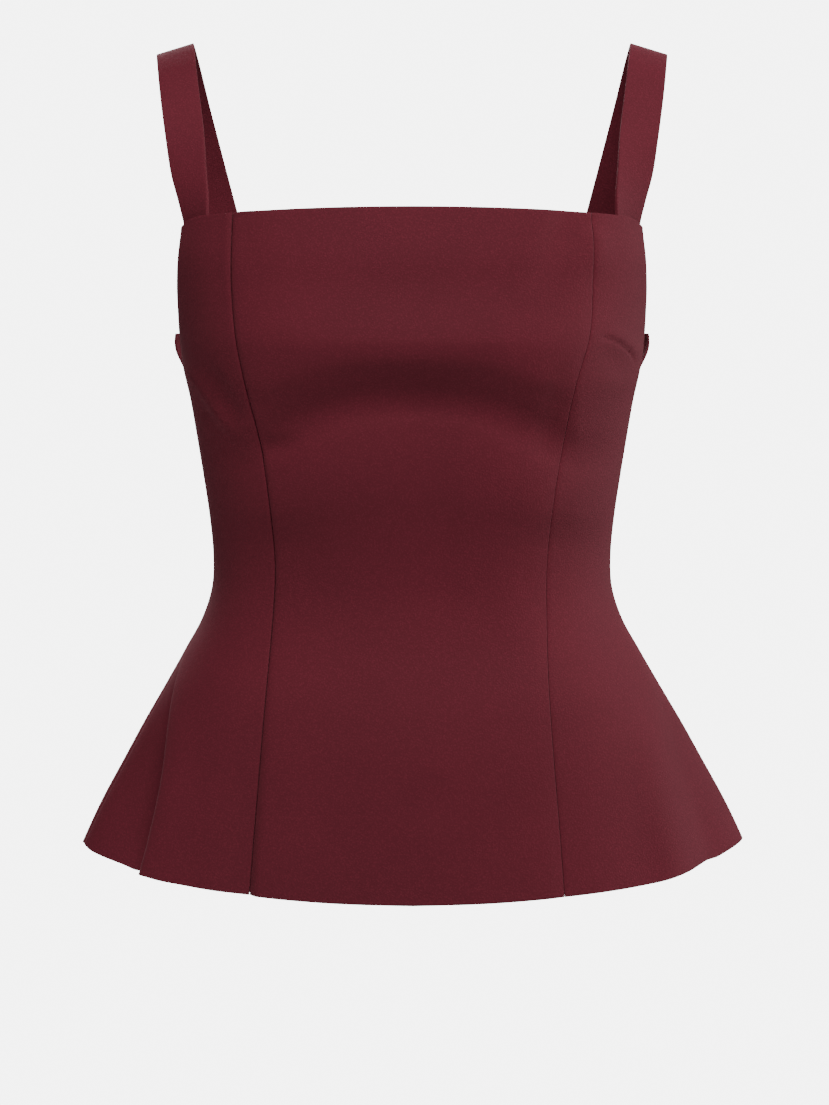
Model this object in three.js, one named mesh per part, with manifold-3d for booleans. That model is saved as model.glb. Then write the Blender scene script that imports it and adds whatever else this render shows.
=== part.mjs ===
// A sleeveless peplum top in its worn, filled-out shape: square neckline, wide shoulder straps,
// princess seams front and back, a fitted waist and a flared hem, closed by a zip down the centre back.
//
// Frame: millimetres, +Z up. The front faces -Y. Left and right are as seen from the front, so left is -X.
// The origin lies midway between the tops of the two straps, where the shoulders hold the garment up.
// Heights are given as drop, the distance below the shoulder line.
//
// The cloth's outer face is one closed form, the skin. A place on it has two coordinates: drop, and around,
// which is 0 at the centre front, 1 and -1 at the side seams, and 2 or -2 at the centre back. Within each
// quarter it is even along the cloth. Every panel is the skin between two seams, with its wall inside it.

import * as THREE from 'three';
import { mergeVertices } from 'three/addons/utils/BufferGeometryUtils.js';
import Module from 'manifold-3d';

const WALL = 1.6;
const SEAM_GAP = 0.3;
const STRAP_WIDTH = 24;
const STRAP_THICKNESS = 2.2;

const NECK_DROP = 104.6;
const NECK_DROP_AT_STRAP = 109.4;
const STRAP_CORNER_DROP = 116;
const UNDERARM_DROP = 203;
const BACK_TOP_DROP = 181;
const HEM_DROP_FRONT = 523;

// Where the strap's inner and outer edges and the back's top corner meet the top edge, as around.
const STRAP_INNER_AROUND = 0.586;
const STRAP_OUTER_AROUND = 0.69;
const BACK_CORNER_AROUND = 1.15;

const ZIP_END_DROP = 430;
const FRONT_ROWS = 32;
const BACK_ROWS = 26;
const CENTRE_COLUMNS = 16;
const BACK_COLUMNS = 8;

// Horizontal sections of the worn form. square is the superellipse exponent: 2 is an ellipse.
const SECTIONS = [
  { drop: 95, halfWidth: 152.0, back: 100.0, square: 2.8 },
  { drop: 115, halfWidth: 152.6, back: 102.5, square: 2.8 },
  { drop: 133, halfWidth: 153.4, back: 105.0, square: 2.75 },
  { drop: 150, halfWidth: 151.4, back: 107.0, square: 2.7 },
  { drop: 168, halfWidth: 147.8, back: 108.3, square: 2.65 },
  { drop: 187, halfWidth: 144.5, back: 108.6, square: 2.6 },
  { drop: 205, halfWidth: 141.8, back: 107.3, square: 2.5 },
  { drop: 222, halfWidth: 138.2, back: 104.5, square: 2.4 },
  { drop: 245, halfWidth: 134.4, back: 99.0, square: 2.35 },
  { drop: 270, halfWidth: 130.4, back: 92.8, square: 2.3 },
  { drop: 295, halfWidth: 126.8, back: 88.2, square: 2.25 },
  { drop: 320, halfWidth: 124.7, back: 86.0, square: 2.2 },
  { drop: 340, halfWidth: 125.8, back: 88.0, square: 2.2 },
  { drop: 360, halfWidth: 132.4, back: 95.0, square: 2.15 },
  { drop: 380, halfWidth: 143.6, back: 104.0, square: 2.1 },
  { drop: 400, halfWidth: 154.8, back: 112.0, square: 2.1 },
  { drop: 425, halfWidth: 168.3, back: 120.5, square: 2.0 },
  { drop: 450, halfWidth: 180.5, back: 127.0, square: 1.92 },
  { drop: 475, halfWidth: 192.5, back: 131.5, square: 1.87 },
  { drop: 500, halfWidth: 203.0, back: 135.5, square: 1.85 },
  { drop: 530, halfWidth: 215.0, back: 139.7, square: 1.85 },
];

// How far the centre front stands forward of the side seams: bust, waist and flared peplum.
const FRONT_PROFILE = [
  { drop: 95, depth: 113.5 },
  { drop: 120, depth: 118.4 },
  { drop: 135, depth: 120.7 },
  { drop: 150, depth: 122.4 },
  { drop: 160, depth: 124.0 },
  { drop: 170, depth: 126.4 },
  { drop: 180, depth: 128.9 },
  { drop: 187, depth: 130.0 },
  { drop: 196, depth: 127.2 },
  { drop: 205, depth: 120.4 },
  { drop: 214, depth: 113.2 },
  { drop: 223, depth: 110.8 },
  { drop: 236, depth: 111.4 },
  { drop: 255, depth: 110.8 },
  { drop: 275, depth: 108.2 },
  { drop: 295, depth: 103.2 },
  { drop: 315, depth: 98.2 },
  { drop: 335, depth: 95.2 },
  { drop: 350, depth: 95.2 },
  { drop: 370, depth: 98.0 },
  { drop: 390, depth: 102.8 },
  { drop: 410, depth: 107.6 },
  { drop: 430, depth: 111.2 },
  { drop: 450, depth: 113.2 },
  { drop: 475, depth: 114.6 },
  { drop: 500, depth: 115.4 },
  { drop: 530, depth: 116.2 },
];

// The slope under the bust arches: towards the sides it starts lower, by fall, and is drawn out, by stretch.
const BUST_DROP = 187;
const BUST_ARCH = { fall: 9, stretch: 0.75, at: 90, power: 2.4, most: 1.3, fadeFrom: 235, fadeTo: 310 };

// The hem's height round the garment: level in front, lifted where the flare stands out at the sides.
const HEM = [
  { around: 0, left: 523.0, right: 523.0 },
  { around: 0.2, left: 522.1, right: 522.1 },
  { around: 0.4, left: 519.4, right: 519.4 },
  { around: 0.6, left: 515.0, right: 515.2 },
  { around: 0.7, left: 512.4, right: 510.6 },
  { around: 0.8, left: 515.6, right: 506.4 },
  { around: 0.9, left: 509.2, right: 503.4 },
  { around: 1, left: 502.4, right: 499.4 },
  { around: 1.2, left: 503.4, right: 502.0 },
  { around: 1.5, left: 510.0, right: 509.4 },
  { around: 2, left: 513.5, right: 513.5 },
];

// Princess seams: distance from the centre line at each height.
const FRONT_SEAMS = [
  { drop: 105, left: 107.5, right: 108.0 },
  { drop: 146, left: 108.5, right: 108.5 },
  { drop: 180, left: 106.5, right: 107.0 },
  { drop: 210, left: 100.8, right: 98.9 },
  { drop: 244, left: 92.5, right: 92.3 },
  { drop: 278, left: 87.4, right: 86.5 },
  { drop: 320, left: 83.8, right: 82.5 },
  { drop: 355, left: 85.4, right: 82.4 },
  { drop: 395, left: 88.8, right: 83.4 },
  { drop: 435, left: 92.5, right: 86.0 },
  { drop: 485, left: 97.1, right: 90.2 },
  { drop: 520, left: 100.0, right: 92.8 },
];
const BACK_SEAMS = [
  { drop: 175, left: 100, right: 100 },
  { drop: 250, left: 80, right: 80 },
  { drop: 320, left: 62, right: 62 },
  { drop: 400, left: 74, right: 74 },
  { drop: 520, left: 100, right: 100 },
];

// Folds of the flared hem. Each starts at fromDrop, is full from fullDrop and runs down to the hem along a
// crest, given as around.
// Between the crest and end the cloth falls inward by depth; steep is the share of that width it falls in.
const FOLDS = [
  { side: -1, fromDrop: 372, fullDrop: 480, crestTop: 0.95, crestHem: 0.685, end: 1.06, depth: 23, ridge: 2.4, steep: 0.25 },
  { side: 1, fromDrop: 372, fullDrop: 523, crestTop: 0.95, crestHem: 0.7, end: 1.0, depth: 4.5, ridge: 3.2, steep: 0.45 },
  { side: -1, fromDrop: 350, fullDrop: 523, crestTop: 1.36, crestHem: 1.3, end: 1.66, depth: 9, ridge: 2, steep: 0.45 },
  { side: 1, fromDrop: 355, fullDrop: 523, crestTop: 1.4, crestHem: 1.36, end: 1.72, depth: 7, ridge: 2, steep: 0.5 },
];
const RIDGE_WIDTH = 0.06;
const CREST_CURVE = 3.2;

// The flare stands out most at the two side seams.
const SIDE_FLARE = { amount: 7.2, spread: 0.12, fromDrop: 380 };

// Seam troughs: the cloth dips to the seam, shallow down the bodice and deeper in the flared hem.
const TROUGHS = [
  { side: -1, bodice: 0.5, hem: 3.6, fromDrop: 370, innerWidth: 4, outerWidth: 16 },
  { side: 1, bodice: 0.3, hem: 0.8, fromDrop: 400, innerWidth: 6, outerWidth: 14 },
];

// The back stands a little away at the armhole, behind the side seam.
const ARMHOLE_STAND = { around: 1.13, drop: 187, amount: 8.8, aroundSpread: 0.11, dropSpread: 15 };

// The free length of one strap, front to back, for the right side: the middle of its outer face, the plan
// turn of its width (0 faces straight forward) and the fall of its width towards the shoulder's point.
const STRAP_STATIONS = [
  { x: 132.6, y: -73.4, z: -99, turn: 40, fall: 10 },
  { x: 135.6, y: -67.0, z: -82, turn: 25, fall: 8 },
  { x: 138.4, y: -56.0, z: -59, turn: 8, fall: 8 },
  { x: 142.0, y: -40.5, z: -36, turn: 0, fall: 10 },
  { x: 145.4, y: -21.5, z: -14.5, turn: 0, fall: 14 },
  { x: 147.5, y: 0.0, z: -3.8, turn: 0, fall: 17 },
  { x: 145.6, y: 21.5, z: -13.5, turn: 0, fall: 15 },
  { x: 140.0, y: 41.0, z: -40, turn: -4, fall: 11 },
  { x: 131.0, y: 58.0, z: -78, turn: -10, fall: 9 },
  { x: 121.0, y: 72.0, z: -118, turn: -17, fall: 8 },
  { x: 112.4, y: 81.5, z: -150, turn: -24, fall: 6 },
  { x: 107.2, y: 85.6, z: -170, turn: -27, fall: 4 },
];
const STRAP_STEPS = 44;
const STRAP_COLUMNS = 2;
const STRAP_TUCK = 10;

// Where the strap's edges are sewn to the back, as distances from the centre line.
const STRAP_BACK_INNER = 92;
const STRAP_BACK_OUTER = 115.5;

// The zip: its closed chain behind the seam, the slider at the top and the pull that hangs from it.
const CHAIN_WIDTH = 6;
const CHAIN_THICKNESS = 1.4;
const CHAIN_ROWS = 24;
const SLIDER_TOP_DROP = 184;
const SLIDER_LENGTH = 14;
const SLIDER_WIDTH = 7;
const SLIDER_THICKNESS = 2;
const BRIDGE_WIDTH = 1.2;
const BRIDGE_LENGTH = 9;
const BRIDGE_STAND = 4.4;
const BRIDGE_WALL = 1.1;
const EYE_LENGTH = 5.6;
const PULL_DROP = 190;
const PULL_STAND = 2.3;
const PULL_THICKNESS = 1.2;
const PULL_LENGTH = 24;
const PULL_WIDTH = 5.6;
const PULL_TIP_RADIUS = 1.9;
const PULL_SHOULDER = 1.6;
const WINDOW_WIDTH = 2.2;
const WINDOW_LENGTH = 6.2;

// The back's two edges part round the slider's neck, which passes between them.
const ZIP_MOUTH = { halfGap: 0.9, fromDrop: 196, toDrop: 203 };

const CLOTH = new THREE.MeshStandardMaterial({ color: 0x5c2029, roughness: 0.85, metalness: 0 });
const ZIP_TAPE = new THREE.MeshStandardMaterial({ color: 0x4a1a22, roughness: 0.7, metalness: 0 });
const ZIP_METAL = new THREE.MeshStandardMaterial({ color: 0x5a2530, roughness: 0.4, metalness: 0.5 });

const top = new THREE.Group();

function smoothstep(from, to, value) {
  const t = THREE.MathUtils.clamp((value - from) / (to - from), 0, 1);
  return t * t * (3 - 2 * t);
}

// A smooth curve through one column of a table whose rows are in order of drop, or of another key.
function readTable(table, column, place, key = 'drop') {
  const last = table.length - 1;
  let row = 0;
  while (row < last - 1 && place > table[row + 1][key]) row += 1;
  const slopeAt = (i) => {
    const before = table[Math.max(i - 1, 0)];
    const after = table[Math.min(i + 1, last)];
    return (after[column] - before[column]) / (after[key] - before[key]);
  };
  const start = table[row];
  const end = table[row + 1];
  const span = end[key] - start[key];
  const t = THREE.MathUtils.clamp((place - start[key]) / span, 0, 1);
  const rise = end[column] - start[column];
  const startSlope = slopeAt(row) * span;
  const endSlope = slopeAt(row + 1) * span;
  const cubic = startSlope + endSlope - 2 * rise;
  const square = 3 * rise - 2 * startSlope - endSlope;
  return start[column] + startSlope * t + square * t * t + cubic * t * t * t;
}

function frontDepth(drop, x) {
  if (drop <= BUST_DROP) return readTable(FRONT_PROFILE, 'depth', drop);
  const fade = 1 - smoothstep(BUST_ARCH.fadeFrom, BUST_ARCH.fadeTo, drop);
  const outward = Math.min((x / BUST_ARCH.at) ** BUST_ARCH.power, BUST_ARCH.most) * fade;
  const below = Math.max(drop - BUST_DROP - BUST_ARCH.fall * outward, 0);
  return readTable(FRONT_PROFILE, 'depth', BUST_DROP + below / (1 + BUST_ARCH.stretch * outward));
}

// A point of one quarter of a section, from the centre line (angle 0) to the side seam (a right angle).
function quarterPoint(isFront, angle, drop) {
  const power = 2 / readTable(SECTIONS, 'square', drop);
  const x = readTable(SECTIONS, 'halfWidth', drop) * Math.sin(angle) ** power;
  const depth = isFront ? frontDepth(drop, x) : readTable(SECTIONS, 'back', drop);
  const y = depth * Math.max(Math.cos(angle), 0) ** power;
  return { x, y: isFront ? -y : y };
}

// The length of cloth from the centre line to each of a row of angles.
const ARC_STEPS = 120;
const arcTables = new Map();
function arcTable(isFront, drop) {
  const key = `${isFront}${drop.toFixed(3)}`;
  if (arcTables.has(key)) return arcTables.get(key);
  const lengths = [0];
  let previous = quarterPoint(isFront, 0, drop);
  for (let step = 1; step <= ARC_STEPS; step += 1) {
    const point = quarterPoint(isFront, (step / ARC_STEPS) * (Math.PI / 2), drop);
    lengths.push(lengths[step - 1] + Math.hypot(point.x - previous.x, point.y - previous.y));
    previous = point;
  }
  arcTables.set(key, lengths);
  return lengths;
}

function quarterLength(isFront, drop) {
  return arcTable(isFront, drop)[ARC_STEPS];
}

function angleAtShare(isFront, drop, share) {
  const lengths = arcTable(isFront, drop);
  const wanted = share * lengths[ARC_STEPS];
  let step = 0;
  while (step < ARC_STEPS - 1 && lengths[step + 1] < wanted) step += 1;
  const part = (wanted - lengths[step]) / (lengths[step + 1] - lengths[step]);
  return ((step + part) / ARC_STEPS) * (Math.PI / 2);
}

// The share of a quarter's cloth that lies between the centre line and the distance x from it.
function shareAtX(isFront, drop, x) {
  const halfWidth = readTable(SECTIONS, 'halfWidth', drop);
  const square = readTable(SECTIONS, 'square', drop);
  const angle = Math.asin((x / halfWidth) ** (square / 2));
  const lengths = arcTable(isFront, drop);
  const place = (angle / (Math.PI / 2)) * ARC_STEPS;
  const step = Math.min(Math.floor(place), ARC_STEPS - 1);
  const length = THREE.MathUtils.lerp(lengths[step], lengths[step + 1], place - step);
  return length / lengths[ARC_STEPS];
}

// The around of a princess seam. side is -1 for left, 1 for right.
function frontSeamAround(side, drop) {
  const x = readTable(FRONT_SEAMS, side < 0 ? 'left' : 'right', drop);
  return side * shareAtX(true, drop, x);
}

function backSeamAround(side, drop) {
  const x = readTable(BACK_SEAMS, side < 0 ? 'left' : 'right', drop);
  return side * (2 - shareAtX(false, drop, x));
}

function foldRelief(around, drop) {
  let relief = 0;
  for (const fold of FOLDS) {
    if (Math.sign(around) !== fold.side) continue;
    const growth = smoothstep(fold.fromDrop, fold.fullDrop, drop);
    const down = THREE.MathUtils.clamp((drop - fold.fromDrop) / (HEM_DROP_FRONT - fold.fromDrop), 0, 1);
    const crest = THREE.MathUtils.lerp(fold.crestTop, fold.crestHem, 1 - (1 - down) ** CREST_CURVE);
    const behind = Math.abs(around) - crest;
    const width = fold.end - crest;
    const bottom = fold.steep * width;
    const fall = smoothstep(0, bottom, behind) * (1 - smoothstep(bottom, width, behind));
    const ridge = Math.exp(-(((behind + RIDGE_WIDTH / 2) / RIDGE_WIDTH) ** 2));
    relief += growth * (fold.ridge * ridge - fold.depth * fall);
  }
  const flare = Math.exp(-(((Math.abs(around) - 1) / SIDE_FLARE.spread) ** 2));
  return relief + SIDE_FLARE.amount * flare * smoothstep(SIDE_FLARE.fromDrop, HEM_DROP_FRONT, drop);
}

function troughRelief(around, drop) {
  let relief = 0;
  for (const trough of TROUGHS) {
    if (Math.sign(around) !== trough.side || Math.abs(around) > 1) continue;
    const depth = THREE.MathUtils.lerp(trough.bodice, trough.hem, smoothstep(trough.fromDrop, HEM_DROP_FRONT, drop));
    const seam = Math.abs(frontSeamAround(trough.side, drop));
    const distance = (Math.abs(around) - seam) * quarterLength(true, drop);
    const width = distance < 0 ? trough.innerWidth : trough.outerWidth;
    relief -= depth * Math.exp(-((distance / width) ** 2));
  }
  return relief;
}

function armholeRelief(around, drop) {
  const across = (Math.abs(around) - ARMHOLE_STAND.around) / ARMHOLE_STAND.aroundSpread;
  const down = (drop - ARMHOLE_STAND.drop) / ARMHOLE_STAND.dropSpread;
  return ARMHOLE_STAND.amount * Math.exp(-(across ** 2) - down ** 2);
}

// The section's own point and its outward direction in plan, before folds.
function sectionPoint(around, drop) {
  const size = Math.abs(around);
  const isFront = size <= 1;
  const share = isFront ? size : 2 - size;
  const point = quarterPoint(isFront, angleAtShare(isFront, drop, share), drop);
  return new THREE.Vector2(Math.sign(around) * point.x, point.y);
}

const AROUND_NUDGE = 0.004;
const DROP_NUDGE = 0.6;

function wrapAround(around) {
  if (around > 2) return around - 4;
  if (around < -2) return around + 4;
  return around;
}

// A point of the cloth's outer face.
function skin(rawAround, drop) {
  const around = wrapAround(rawAround);
  const here = sectionPoint(around, drop);
  const ahead = sectionPoint(wrapAround(around + AROUND_NUDGE), drop);
  const behind = sectionPoint(wrapAround(around - AROUND_NUDGE), drop);
  const outward = new THREE.Vector2(ahead.y - behind.y, behind.x - ahead.x).normalize();
  const relief = foldRelief(around, drop) + troughRelief(around, drop) + armholeRelief(around, drop);
  here.addScaledVector(outward, relief);
  return new THREE.Vector3(here.x, here.y, -drop);
}

function skinNormal(around, drop) {
  const across = skin(around + AROUND_NUDGE, drop).sub(skin(around - AROUND_NUDGE, drop));
  const upward = skin(around, drop - DROP_NUDGE).sub(skin(around, drop + DROP_NUDGE));
  return across.cross(upward).normalize();
}

// A point under the outer face, or over it where inset is negative.
function skinInset(around, drop, inset) {
  return skin(around, drop).addScaledVector(skinNormal(around, drop), -inset);
}

// The height of the top edge: neckline, strap base, armhole and back.
function topDrop(around) {
  const size = Math.abs(around);
  if (size <= STRAP_INNER_AROUND) {
    return NECK_DROP + (NECK_DROP_AT_STRAP - NECK_DROP) * (size / STRAP_INNER_AROUND) ** 2;
  }
  if (size <= STRAP_OUTER_AROUND) {
    const along = (size - STRAP_INNER_AROUND) / (STRAP_OUTER_AROUND - STRAP_INNER_AROUND);
    return NECK_DROP_AT_STRAP + (STRAP_CORNER_DROP - NECK_DROP_AT_STRAP) * along ** 2;
  }
  if (size <= 1) {
    const scoop = 1.6;
    const left = (1 - size) / (1 - STRAP_OUTER_AROUND);
    const fall = (1 - left ** scoop) ** (1 / scoop);
    return STRAP_CORNER_DROP + (UNDERARM_DROP - STRAP_CORNER_DROP) * fall;
  }
  if (size <= BACK_CORNER_AROUND) {
    const along = (size - 1) / (BACK_CORNER_AROUND - 1);
    return UNDERARM_DROP - (UNDERARM_DROP - BACK_TOP_DROP) * (1 - Math.sqrt(1 - along ** 2));
  }
  return BACK_TOP_DROP;
}

function hemDrop(around) {
  return readTable(HEM, around < 0 ? 'left' : 'right', Math.abs(around), 'around');
}

// Closes a sheet of points into a solid wall. outer and inner are grids of the same size, rows of columns,
// seen from outside with the first row at the top and the first column at the left.
function wallGeometry(outer, inner) {
  const rows = outer.length;
  const columns = outer[0].length;
  const positions = [];
  for (const grid of [outer, inner]) {
    for (const row of grid) for (const point of row) positions.push(point.x, point.y, point.z);
  }
  const outerIndex = (row, column) => row * columns + column;
  const innerIndex = (row, column) => rows * columns + outerIndex(row, column);
  const triangles = [];
  const quad = (a, b, c, d) => triangles.push(a, b, c, a, c, d);
  for (let row = 0; row < rows - 1; row += 1) {
    for (let column = 0; column < columns - 1; column += 1) {
      quad(outerIndex(row, column), outerIndex(row + 1, column),
        outerIndex(row + 1, column + 1), outerIndex(row, column + 1));
      quad(innerIndex(row, column), innerIndex(row, column + 1),
        innerIndex(row + 1, column + 1), innerIndex(row + 1, column));
    }
    const right = columns - 1;
    quad(outerIndex(row, 0), innerIndex(row, 0), innerIndex(row + 1, 0), outerIndex(row + 1, 0));
    quad(outerIndex(row, right), outerIndex(row + 1, right), innerIndex(row + 1, right), innerIndex(row, right));
  }
  for (let column = 0; column < columns - 1; column += 1) {
    const bottom = rows - 1;
    quad(outerIndex(0, column), outerIndex(0, column + 1), innerIndex(0, column + 1), innerIndex(0, column));
    quad(outerIndex(bottom, column), innerIndex(bottom, column),
      innerIndex(bottom, column + 1), outerIndex(bottom, column + 1));
  }
  const geometry = new THREE.BufferGeometry();
  geometry.setAttribute('position', new THREE.Float32BufferAttribute(positions, 3));
  geometry.setIndex(triangles);
  geometry.computeVertexNormals();
  return geometry;
}

function addMesh(name, geometry, material) {
  const mesh = new THREE.Mesh(geometry, material);
  mesh.name = name;
  top.add(mesh);
  return mesh;
}

// One cut piece: from and to give the seams' around at a height, shares the columns between them.
function addPanel(name, from, to, shares, edgeGap) {
  const isFront = name.includes('front');
  const rows = isFront ? FRONT_ROWS : BACK_ROWS;
  const outer = [];
  const inner = [];
  for (let row = 0; row <= rows; row += 1) {
    outer.push([]);
    inner.push([]);
    for (const share of shares) {
      const topAround = THREE.MathUtils.lerp(from(NECK_DROP_AT_STRAP), to(NECK_DROP_AT_STRAP), share);
      const upper = topDrop(topAround);
      const lower = hemDrop(THREE.MathUtils.lerp(from(HEM_DROP_FRONT), to(HEM_DROP_FRONT), share));
      const drop = THREE.MathUtils.lerp(upper, lower, row / rows);
      const gap = edgeGap(drop);
      const fromAround = from(drop) + gap.from / quarterLength(isFront, drop);
      const toAround = to(drop) - gap.to / quarterLength(isFront, drop);
      const around = THREE.MathUtils.lerp(fromAround, toAround, share);
      outer[row].push(skin(around, drop));
      inner[row].push(skinInset(around, drop, WALL));
    }
  }
  return addMesh(name, wallGeometry(outer, inner), CLOTH);
}

const evenly = (t) => t;
const slowlyAtStart = (t) => 1 - Math.cos((t * Math.PI) / 2);
const slowlyAtEnd = (t) => Math.sin((t * Math.PI) / 2);
const slowlyAtEnds = (t) => (1 - Math.cos(t * Math.PI)) / 2;

// A run of column places from one around to another, without the first.
function run(from, to, count, pace) {
  return Array.from({ length: count }, (_, i) => THREE.MathUtils.lerp(from, to, pace((i + 1) / count)));
}

// The columns of a right-hand panel, as around along its top edge.
const neckSeam = frontSeamAround(1, NECK_DROP_AT_STRAP);
const backSeam = backSeamAround(1, NECK_DROP_AT_STRAP);
const SIDE_FRONT_ARC = [
  neckSeam,
  ...run(neckSeam, STRAP_INNER_AROUND, 4, slowlyAtStart),
  ...run(STRAP_INNER_AROUND, STRAP_OUTER_AROUND, 3, evenly),
  ...run(STRAP_OUTER_AROUND, 1, 9, slowlyAtStart),
];
const SIDE_BACK_ARC = [
  1,
  ...run(1, BACK_CORNER_AROUND, 6, slowlyAtEnd),
  ...run(BACK_CORNER_AROUND, backSeam, 9, evenly),
];
const BACK_ARC = [backSeam, ...run(backSeam, 2, BACK_COLUMNS, slowlyAtEnds)];

function toShares(arc) {
  const first = arc[0];
  const last = arc[arc.length - 1];
  return arc.map((around) => (around - first) / (last - first));
}

const mirrored = (shares) => shares.map((share) => 1 - share).reverse();

const seamGap = () => ({ from: SEAM_GAP / 2, to: SEAM_GAP / 2 });

function zipGap(drop) {
  const { halfGap, fromDrop, toDrop } = ZIP_MOUTH;
  return THREE.MathUtils.lerp(halfGap, SEAM_GAP / 2, smoothstep(fromDrop, toDrop, drop));
}

function addPanels() {
  const centreShares = [0, ...run(0, 1, CENTRE_COLUMNS, slowlyAtEnds)];
  addPanel('front_centre', (drop) => frontSeamAround(-1, drop), (drop) => frontSeamAround(1, drop),
    centreShares, seamGap);
  const sideFront = toShares(SIDE_FRONT_ARC);
  addPanel('side_front_right', (drop) => frontSeamAround(1, drop), () => 1, sideFront, seamGap);
  addPanel('side_front_left', () => -1, (drop) => frontSeamAround(-1, drop), mirrored(sideFront), seamGap);
  const sideBack = toShares(SIDE_BACK_ARC);
  addPanel('side_back_right', () => 1, (drop) => backSeamAround(1, drop), sideBack, seamGap);
  addPanel('side_back_left', (drop) => backSeamAround(-1, drop), () => -1, mirrored(sideBack), seamGap);
  const back = toShares(BACK_ARC);
  addPanel('back_right', (drop) => backSeamAround(1, drop), () => 2, back,
    (drop) => ({ from: SEAM_GAP / 2, to: zipGap(drop) }));
  addPanel('back_left', () => -2, (drop) => backSeamAround(-1, drop), mirrored(back),
    (drop) => ({ from: zipGap(drop), to: SEAM_GAP / 2 }));
}

// The strap's two edges from the front tuck, over the shoulder, to the back tuck.
function strapEdges(side) {
  const inside = WALL + SEAM_GAP;
  const inner = [];
  const outer = [];
  const tuck = (innerAround, outerAround, deepest) => {
    for (const below of deepest) {
      inner.push(skinInset(side * innerAround, topDrop(innerAround) + below, inside));
      outer.push(skinInset(side * outerAround, topDrop(outerAround) + below, inside));
    }
  };
  tuck(STRAP_INNER_AROUND, STRAP_OUTER_AROUND, [STRAP_TUCK, STRAP_TUCK / 2, 0]);
  for (const station of STRAP_STATIONS) {
    const turn = THREE.MathUtils.degToRad(station.turn);
    const fall = THREE.MathUtils.degToRad(station.fall);
    const across = new THREE.Vector3(Math.cos(turn) * Math.cos(fall), Math.sin(turn) * Math.cos(fall),
      -Math.sin(fall));
    const middle = new THREE.Vector3(station.x, station.y, station.z);
    const mirror = new THREE.Vector3(side, 1, 1);
    inner.push(middle.clone().addScaledVector(across, -STRAP_WIDTH / 2).multiply(mirror));
    outer.push(middle.clone().addScaledVector(across, STRAP_WIDTH / 2).multiply(mirror));
  }
  const innerBack = 2 - shareAtX(false, BACK_TOP_DROP, STRAP_BACK_INNER);
  const outerBack = 2 - shareAtX(false, BACK_TOP_DROP, STRAP_BACK_OUTER);
  tuck(innerBack, outerBack, [0, STRAP_TUCK / 2, STRAP_TUCK]);
  return { inner, outer };
}

function addStrap(name, side) {
  const edges = strapEdges(side);
  const innerEdge = new THREE.CatmullRomCurve3(edges.inner);
  const outerEdge = new THREE.CatmullRomCurve3(edges.outer);
  const nudge = 0.002;
  const face = [];
  const underside = [];
  for (let step = 0; step <= STRAP_STEPS; step += 1) {
    const t = step / STRAP_STEPS;
    const start = innerEdge.getPoint(t);
    const end = outerEdge.getPoint(t);
    const ahead = innerEdge.getPoint(Math.min(t + nudge, 1)).add(outerEdge.getPoint(Math.min(t + nudge, 1)));
    const behind = innerEdge.getPoint(Math.max(t - nudge, 0)).add(outerEdge.getPoint(Math.max(t - nudge, 0)));
    const along = ahead.sub(behind);
    const inward = end.clone().sub(start).cross(along).normalize().multiplyScalar(-side);
    const columns = Array.from({ length: STRAP_COLUMNS + 1 }, (_, i) => start.clone().lerp(end, i / STRAP_COLUMNS));
    face.push(columns);
    underside.push(columns.map((point) => point.clone().addScaledVector(inward, STRAP_THICKNESS)));
  }
  const facesOut = side > 0;
  addMesh(name, facesOut ? wallGeometry(face.reverse(), underside.reverse()) : wallGeometry(face, underside), CLOTH);
}

function addZipChain() {
  const halfWidth = CHAIN_WIDTH / 2;
  const inside = WALL + SEAM_GAP;
  const start = SLIDER_TOP_DROP + SLIDER_LENGTH + SEAM_GAP;
  const outer = [];
  const inner = [];
  for (let row = 0; row <= CHAIN_ROWS; row += 1) {
    const drop = THREE.MathUtils.lerp(start, ZIP_END_DROP, row / CHAIN_ROWS);
    const reach = halfWidth / quarterLength(false, drop);
    const places = [2 - reach, 2, 2 + reach];
    outer.push(places.map((around) => skinInset(around, drop, inside)));
    inner.push(places.map((around) => skinInset(around, drop, inside + CHAIN_THICKNESS)));
  }
  addMesh('zip_chain', wallGeometry(outer, inner), ZIP_TAPE);
}

function toManifold(wasm, geometry) {
  const plain = geometry.clone();
  plain.deleteAttribute('normal');
  plain.deleteAttribute('uv');
  const merged = mergeVertices(plain, 1e-4);
  return new wasm.Manifold(new wasm.Mesh({
    numProp: 3,
    vertProperties: merged.attributes.position.array,
    triVerts: new Uint32Array(merged.index.array),
  }));
}

function fromManifold(solid) {
  const mesh = solid.getMesh();
  const geometry = new THREE.BufferGeometry();
  geometry.setAttribute('position', new THREE.BufferAttribute(mesh.vertProperties, 3));
  geometry.setIndex(new THREE.BufferAttribute(mesh.triVerts, 1));
  geometry.computeVertexNormals();
  return geometry;
}

// The back's outer face at the height of the pull's pivot.
const backFace = skin(2, PULL_DROP).y;

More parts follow.
